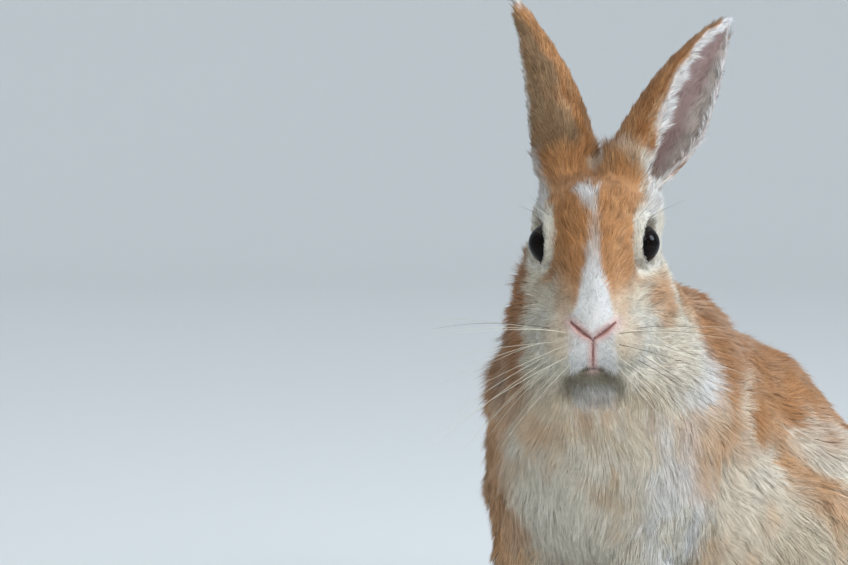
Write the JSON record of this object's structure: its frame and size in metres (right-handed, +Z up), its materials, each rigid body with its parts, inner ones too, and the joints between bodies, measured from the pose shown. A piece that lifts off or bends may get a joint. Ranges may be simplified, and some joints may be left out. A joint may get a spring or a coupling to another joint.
{
  "type": "rabbit, still model",
  "caption": "Life-size still model of a rabbit sitting upright on its haunches, forelegs straight, ears raised and head turned to its left.",
  "frame": {"origin": "middle of the model's box on the floor, at the level of the soles", "axes": "+Z up through the ears, -Y the way the trunk and forefeet face, +X the rabbit's left"},
  "size_m": [0.1682, 0.2618, 0.2966],
  "materials": {
    "coat_head": "short dense fur, orange-fawn with a white blaze, cream cheeks and cream rings round the eyes",
    "coat_ear": "very short flat fur, orange outside, thin pale hair over pink skin inside, white along the edges",
    "coat_neck": "soft, longer cream fur with a white ruff",
    "coat_trunk": "dense fur in clumps, orange and brown over the back, cream and fawn on the flank",
    "coat_leg": "short fur, fawn above and cream on the feet",
    "coat_tail": "soft fur, fawn above and white below",
    "skin": "bare pink skin of the nose, lips and eyelids",
    "claw": "smooth horn, light brown",
    "whisker": "smooth stiff hair, cream",
    "eye": "wet and glossy, dark brown to black"
  },
  "bodies": {
    "root": {"head": "coat_head", "ear_left": "coat_ear", "ear_right": "coat_ear", "neck": "coat_neck", "trunk": "coat_trunk", "foreleg_left": "coat_leg", "foreleg_right": "coat_leg", "hindleg_left": "coat_leg", "hindleg_right": "coat_leg", "tail": "coat_tail", "eye_left": "eye", "eye_right": "eye"}
  },
  "joints": []
}
